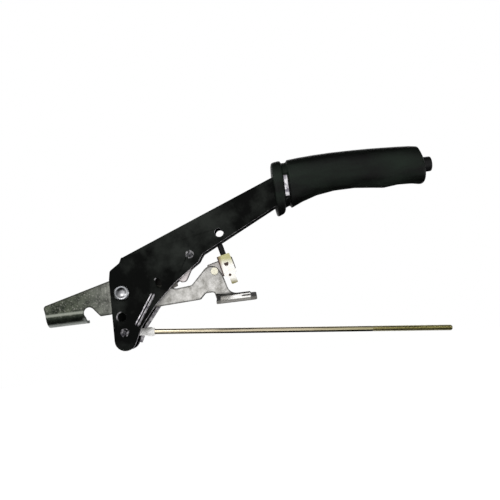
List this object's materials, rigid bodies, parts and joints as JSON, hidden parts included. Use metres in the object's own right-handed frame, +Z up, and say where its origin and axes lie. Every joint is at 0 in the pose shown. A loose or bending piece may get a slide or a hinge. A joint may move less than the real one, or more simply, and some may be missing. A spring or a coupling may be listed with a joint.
{
  "type": "parking brake lever",
  "caption": "Hand brake lever with soft grip and release button, pawl and ratchet, plated floor bracket with hook and foot, lamp switch and threaded pull rod.",
  "frame": {"origin": "centre of the hook's round seat, in the middle of the bracket plate's thickness", "axes": "+X along the base from the hook towards the grip's button, +Y along the seat away from the switch's contact strip, +Z up"},
  "size_m": [0.401, 0.0506, 0.1914],
  "materials": {
    "zinc_plate": "zinc-plated, satin",
    "white_zinc": "bright zinc-plated",
    "yellow_zinc": "yellow-passivated zinc",
    "hard_steel": "hardened, oiled",
    "bright_steel": "bright turned",
    "black_paint": "gloss black paint",
    "soft_black": "matte, fine grain",
    "black_plastic": "satin moulded",
    "brown_moulding": "phenolic, satin"
  },
  "bodies": {
    "bracket": {"bracket_plate": "zinc_plate", "ratchet_sector": "hard_steel", "sector_rivets": "bright_steel", "pivot_pin": "bright_steel", "pivot_spacers": "hard_steel", "switch_tab": "zinc_plate", "switch_rivet": "bright_steel", "switch_body": "brown_moulding", "switch_card": "brown_moulding", "switch_contact": "yellow_zinc", "switch_spring": "bright_steel"},
    "lever": {"lever_near_half": "black_paint", "lever_far_half": "black_paint", "pawl_rivet": "black_paint", "pawl_spacers": "hard_steel", "rod_guide": "hard_steel", "button_guide": "black_plastic", "grip": "soft_black", "clevis_pin": "hard_steel", "clevis_spacers": "hard_steel", "release_spring": "bright_steel"},
    "button": {"release_button": "black_plastic", "release_rod": "bright_steel"},
    "pawl": {"pawl": "zinc_plate"},
    "pull_rod": {"rod_eye": "white_zinc", "pull_rod": "yellow_zinc"},
    "plunger": {"switch_plunger": "black_plastic"}
  },
  "joints": [
    {"name": "lever_lift", "type": "hinge", "parent": "bracket", "child": "lever", "pos_m": [0.0355, 0.005, 0.0155], "axis": [0, -1, 0], "range_deg": [0, 40]},
    {"name": "button_press", "type": "slide", "parent": "lever", "child": "button", "axis": [-1, 0, 0], "range_m": [-0.001, 0.004], "stiffness_N_per_m": 600, "deforming": ["release_spring"]},
    {"name": "pawl_swing", "type": "hinge", "parent": "lever", "child": "pawl", "pos_m": [0.1055, 0.0035, 0.0452], "axis": [0, -1, 0], "range_deg": [-3.5, 13.8]},
    {"name": "rod_swing", "type": "hinge", "parent": "lever", "child": "pull_rod", "pos_m": [0.0341, 0.009, -0.0232], "axis": [0, 1, 0], "range_deg": [-10, 110]},
    {"name": "plunger_slide", "type": "slide", "parent": "bracket", "child": "plunger", "axis": [-0.2334, 0, 0.9724], "range_m": [0, 0.003]}
  ],
  "couplings": [
    {"joint": "pawl_swing", "follows": "button_press", "rad_per_m": 59.524},
    {"joint": "plunger_slide", "follows": "lever_lift", "m_per_rad": 0.0042929}
  ]
}
